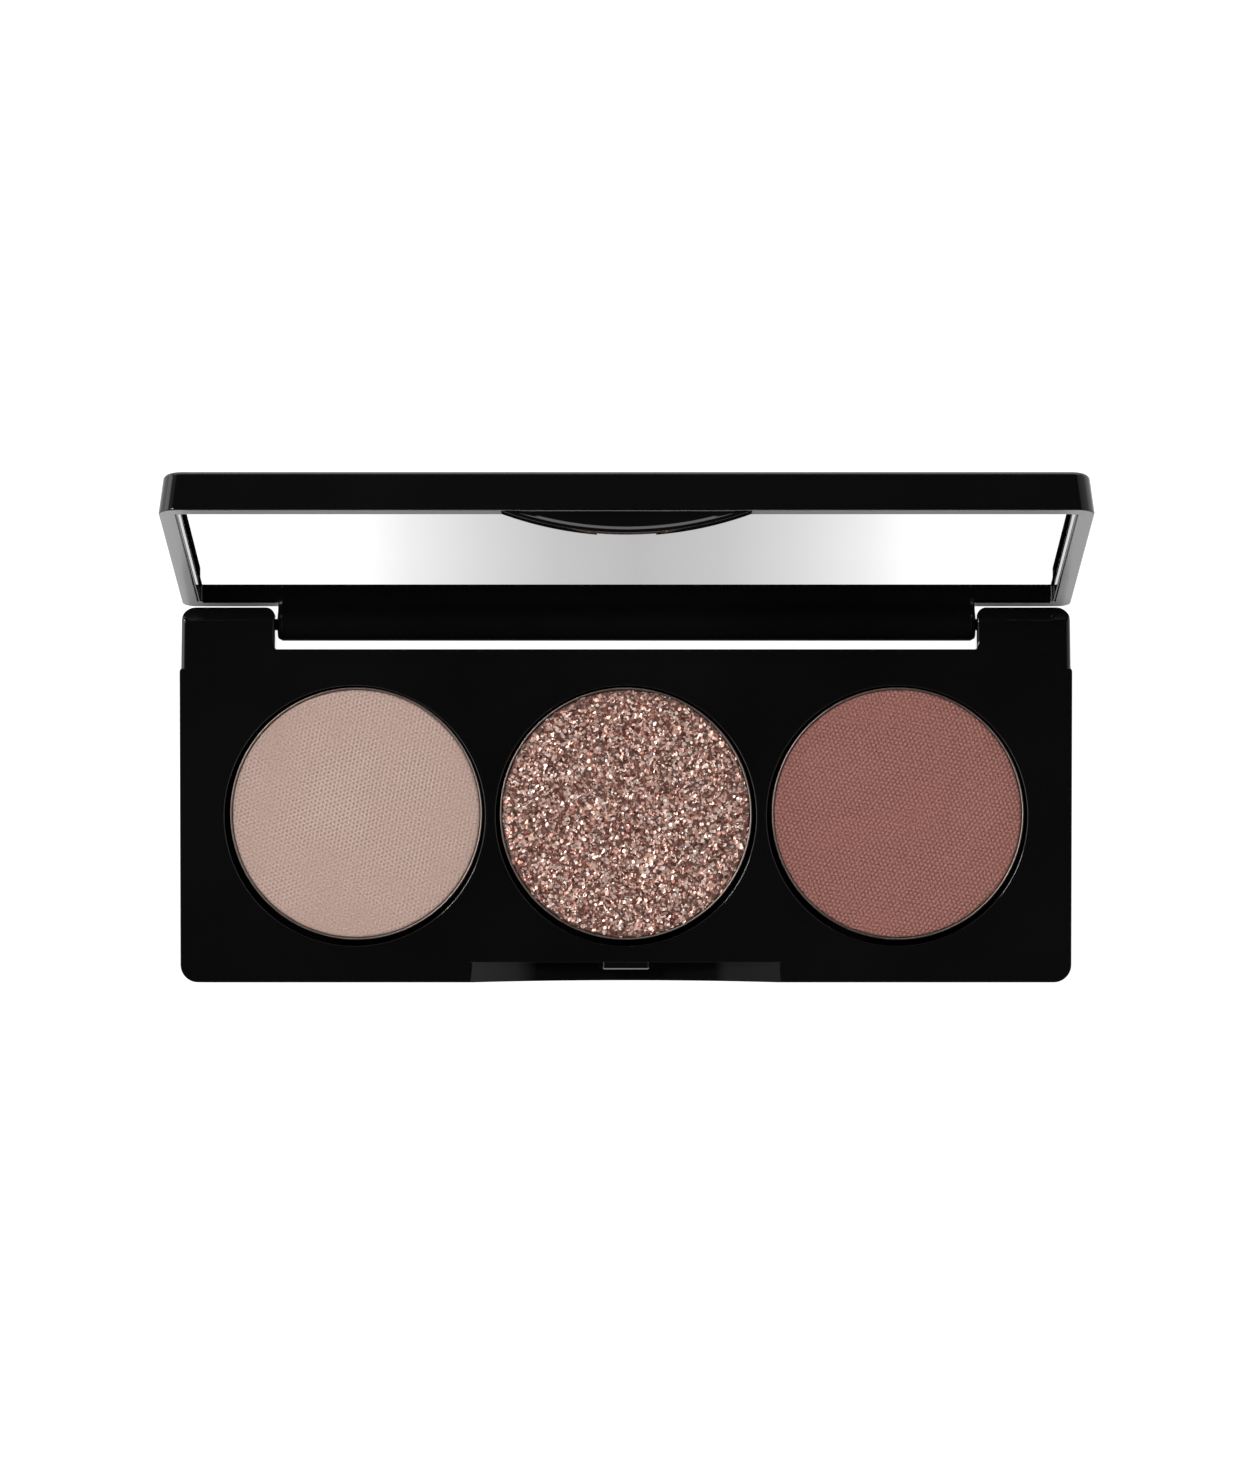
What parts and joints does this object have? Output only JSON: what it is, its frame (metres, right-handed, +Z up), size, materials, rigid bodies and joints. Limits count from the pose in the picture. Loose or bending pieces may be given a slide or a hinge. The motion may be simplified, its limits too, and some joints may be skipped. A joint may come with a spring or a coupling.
{
  "type": "eyeshadow palette",
  "caption": "Slim rectangular eyeshadow compact with a row of round powder pans and a hinged lid that holds a full-width mirror.",
  "frame": {"origin": "middle of the base's flat underside, ignoring the draft of its sides", "axes": "+Z up, +X to the user's right along the row of pans, +Y from the finger notch toward the hinge"},
  "size_m": [0.0906, 0.0504, 0.0398],
  "materials": {
    "black_gloss": "polished injection-moulded black",
    "tin": "plain tinned steel",
    "pin_steel": "ground",
    "mirror": "silvered glass",
    "foam_tape": "white double-sided foam",
    "adhesive": "set hot-melt",
    "label": "blank matt label",
    "powder_beige": "pressed matte powder with a woven imprint",
    "powder_rose": "pressed rose-gold glitter",
    "powder_mauve": "pressed matte powder with a woven imprint"
  },
  "bodies": {
    "base": {"base_tray": "black_gloss", "base_bottom_cover": "black_gloss", "bottom_label": "label", "pan_left": "tin", "pan_centre": "tin", "pan_right": "tin", "powder_left": "powder_beige", "powder_centre": "powder_rose", "powder_right": "powder_mauve", "pan_glue_left": "adhesive", "pan_glue_centre": "adhesive", "pan_glue_right": "adhesive", "hinge_pin_left": "pin_steel", "hinge_pin_right": "pin_steel"},
    "lid": {"lid_shell": "black_gloss", "mirror": "mirror", "mirror_tape": "foam_tape"}
  },
  "joints": [
    {"name": "lid_hinge", "type": "hinge", "parent": "base", "child": "lid", "pos_m": [0, 0.01744, 0.0047], "axis": [1, 0, 0], "range_deg": [0, 103.1]}
  ]
}
